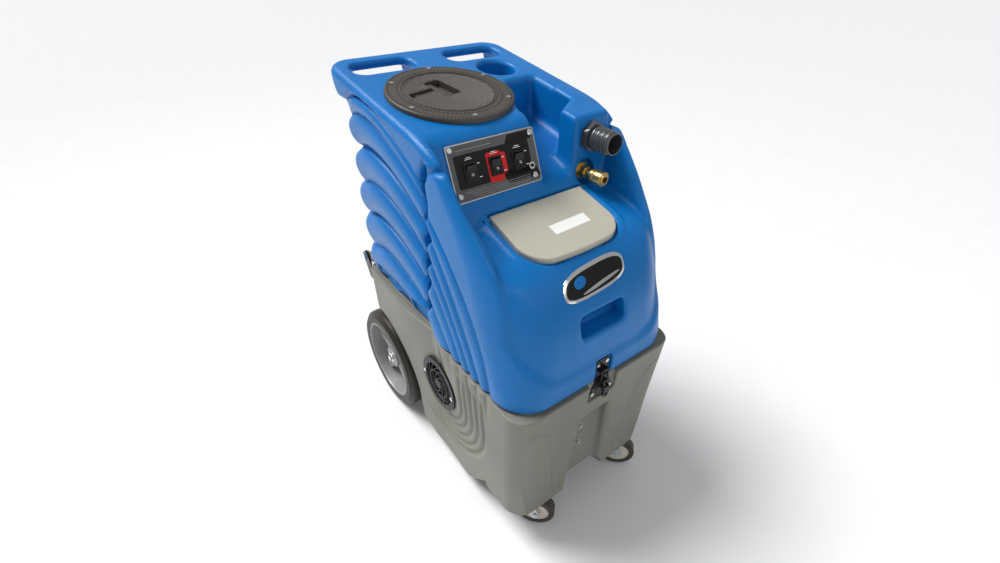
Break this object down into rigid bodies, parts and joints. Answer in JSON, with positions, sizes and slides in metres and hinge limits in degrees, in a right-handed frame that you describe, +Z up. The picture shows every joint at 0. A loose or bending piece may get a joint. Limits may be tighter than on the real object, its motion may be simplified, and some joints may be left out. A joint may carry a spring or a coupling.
{
  "type": "spot extractor",
  "caption": "Portable carpet spot extractor: blue moulded tank that tips back on a grey moulded base with two large rear wheels and two front casters.",
  "frame": {"origin": "on the floor under the middle of the machine", "axes": "+Z up, the front faces -Y, +X is right as seen from the front"},
  "size_m": [0.3776, 0.657, 0.8158],
  "materials": {
    "blue_shell": "rotomoulded, fine orange peel, satin gloss",
    "grey_shell": "rotomoulded, satin",
    "lid_grey": "satin, fine grain",
    "black_plastic": "moulded",
    "plate_grey": "moulded, satin",
    "pvc_grey": "glossy moulded",
    "panel_black": "printed overlay on a thin plate",
    "switch_black": "moulded",
    "hub_grey": "cast, painted silver grey",
    "tyre": "moulded rubber",
    "caster_tyre": "soft rubber",
    "caster_hub": "moulded",
    "zinc": "bright zinc",
    "chrome": "polished",
    "black_metal": "black coating",
    "brass": "machined",
    "seal_rubber": "foam rubber",
    "motor_metal": "cast and pressed",
    "inner_plastic": "moulded",
    "float_red": "moulded"
  },
  "bodies": {
    "base": {"base_shell": "grey_shell", "rim_seal": "seal_rubber", "rear_axle": "zinc", "axle_brackets": "black_metal", "axle_end_bolts": "chrome", "caster_plates": "zinc", "caster_plate_bolts": "zinc", "vent_grille_left": "black_plastic", "vent_grille_right": "black_plastic", "grille_screws": "chrome", "cooling_fan_frame": "black_plastic", "vac_motor": "motor_metal", "vac_duct": "inner_plastic", "pump": "motor_metal", "latch_plate": "black_metal", "latch_rivets": "chrome", "channel_bolts": "zinc", "pivot_brackets": "zinc", "pivot_bolts": "chrome", "power_inlet": "black_plastic"},
    "tank": {"tank_shell": "blue_shell", "pivot_ears": "zinc", "latch_keeper": "black_metal", "keeper_rivets": "chrome", "access_ring": "plate_grey", "access_ring_screws": "chrome", "lid_pin": "zinc", "switch_panel": "panel_black", "panel_screws": "chrome", "breaker_bushing": "chrome", "switch_bezels": "switch_black", "hose_barb": "pvc_grey", "coupler_adapter": "brass", "coupler_body": "brass", "standpipe": "inner_plastic", "drain_valve": "pvc_grey"},
    "wheel_left": {"tyre_left": "tyre", "wheel_hub_left": "hub_grey"},
    "wheel_right": {"tyre_right": "tyre", "wheel_hub_right": "hub_grey"},
    "caster_swivel_left": {"caster_fork_left": "zinc"},
    "caster_swivel_right": {"caster_fork_right": "zinc"},
    "caster_wheel_left": {"caster_tyre_left": "caster_tyre", "caster_hub_left": "caster_hub"},
    "caster_wheel_right": {"caster_tyre_right": "caster_tyre", "caster_hub_right": "caster_hub"},
    "latch_lever": {"latch_lever": "black_metal"},
    "latch_bail": {"latch_bail": "black_metal"},
    "vac_impeller": {"vac_impeller": "motor_metal"},
    "fan_rotor": {"fan_rotor": "black_plastic"},
    "access_disc": {"access_disc": "plate_grey"},
    "disc_handle": {"disc_handle": "plate_grey"},
    "fill_lid": {"fill_lid": "lid_grey"},
    "breaker_button": {"breaker_button": "black_plastic"},
    "rocker_left": {"rocker_left": "switch_black"},
    "rocker_middle": {"rocker_middle": "switch_black"},
    "rocker_right": {"rocker_right": "switch_black"},
    "coupler_sleeve": {"coupler_sleeve": "brass"},
    "shutoff_float": {"shutoff_float": "float_red"},
    "drain_gate": {"drain_gate": "black_plastic"}
  },
  "joints": [
    {"name": "tank_tip", "type": "hinge", "parent": "base", "child": "tank", "pos_m": [0, 0.27, 0.394], "axis": [-1, 0, 0], "range_deg": [0, 70]},
    {"name": "wheel_left_roll", "type": "hinge", "parent": "base", "child": "wheel_left", "pos_m": [-0.1635, 0.2015, 0.127], "axis": [1, 0, 0], "continuous": true},
    {"name": "caster_left_swivel", "type": "hinge", "parent": "base", "child": "caster_swivel_left", "pos_m": [-0.12, -0.262, 0.085], "axis": [0, 0, 1], "continuous": true},
    {"name": "caster_left_roll", "type": "hinge", "parent": "caster_swivel_left", "child": "caster_wheel_left", "pos_m": [-0.10126, -0.28281, 0.038], "axis": [0.7431, 0.6691, 0], "continuous": true},
    {"name": "wheel_right_roll", "type": "hinge", "parent": "base", "child": "wheel_right", "pos_m": [0.1635, 0.2015, 0.127], "axis": [1, 0, 0], "continuous": true},
    {"name": "caster_right_swivel", "type": "hinge", "parent": "base", "child": "caster_swivel_right", "pos_m": [0.12, -0.262, 0.085], "axis": [0, 0, 1], "continuous": true},
    {"name": "caster_right_roll", "type": "hinge", "parent": "caster_swivel_right", "child": "caster_wheel_right", "pos_m": [0.13874, -0.28281, 0.038], "axis": [0.7431, 0.6691, 0], "continuous": true},
    {"name": "latch_lever_turn", "type": "hinge", "parent": "base", "child": "latch_lever", "pos_m": [0, -0.3205, 0.374], "axis": [-1, 0, 0], "range_deg": [0, 120]},
    {"name": "latch_bail_turn", "type": "hinge", "parent": "latch_lever", "child": "latch_bail", "pos_m": [0, -0.32, 0.366], "axis": [-1, 0, 0], "range_deg": [-120, 0]},
    {"name": "vac_impeller_spin", "type": "hinge", "parent": "base", "child": "vac_impeller", "pos_m": [0.068, -0.03, 0.1], "axis": [0, 0, 1], "continuous": true},
    {"name": "fan_spin", "type": "hinge", "parent": "base", "child": "fan_rotor", "pos_m": [-0.16, -0.053, 0.253], "axis": [1, 0, 0], "continuous": true},
    {"name": "access_disc_turn", "type": "hinge", "parent": "tank", "child": "access_disc", "pos_m": [-0.0547, 0.0468, 0.77996], "axis": [0, -0.1637, 0.9865], "range_deg": [0, 60]},
    {"name": "disc_handle_lift", "type": "hinge", "parent": "access_disc", "child": "disc_handle", "pos_m": [-0.1102, 0.05354, 0.7821], "axis": [0.1908, -0.9684, -0.1607], "range_deg": [0, 95]},
    {"name": "fill_lid_open", "type": "hinge", "parent": "tank", "child": "fill_lid", "pos_m": [0, -0.12647, 0.6315], "axis": [-1, 0, 0], "range_deg": [0, 100]},
    {"name": "breaker_press", "type": "slide", "parent": "tank", "child": "breaker_button", "axis": [0, 0.9285, -0.3714], "range_m": [0, 0.002], "stiffness_N_per_m": 300},
    {"name": "rocker_left_switch", "type": "hinge", "parent": "tank", "child": "rocker_left", "pos_m": [-0.1115, -0.09655, 0.70501], "axis": [-1, 0, 0], "range_deg": [0, 20]},
    {"name": "rocker_middle_switch", "type": "hinge", "parent": "tank", "child": "rocker_middle", "pos_m": [-0.065, -0.09673, 0.70455], "axis": [-1, 0, 0], "range_deg": [0, 20]},
    {"name": "rocker_right_switch", "type": "hinge", "parent": "tank", "child": "rocker_right", "pos_m": [-0.0195, -0.09684, 0.70427], "axis": [-1, 0, 0], "range_deg": [0, 20]},
    {"name": "coupler_sleeve_pull", "type": "slide", "parent": "tank", "child": "coupler_sleeve", "axis": [0, 1, 0], "range_m": [0, 0.004], "stiffness_N_per_m": 900},
    {"name": "shutoff_float_rise", "type": "slide", "parent": "tank", "child": "shutoff_float", "axis": [0, 0, 1], "range_m": [0, 0.04]},
    {"name": "drain_gate_lift", "type": "slide", "parent": "tank", "child": "drain_gate", "axis": [0, 0, 1], "range_m": [0, 0.038]}
  ],
  "couplings": [
    {"joint": "latch_bail_turn", "follows": "latch_lever_turn", "ratio": -1}
  ]
}
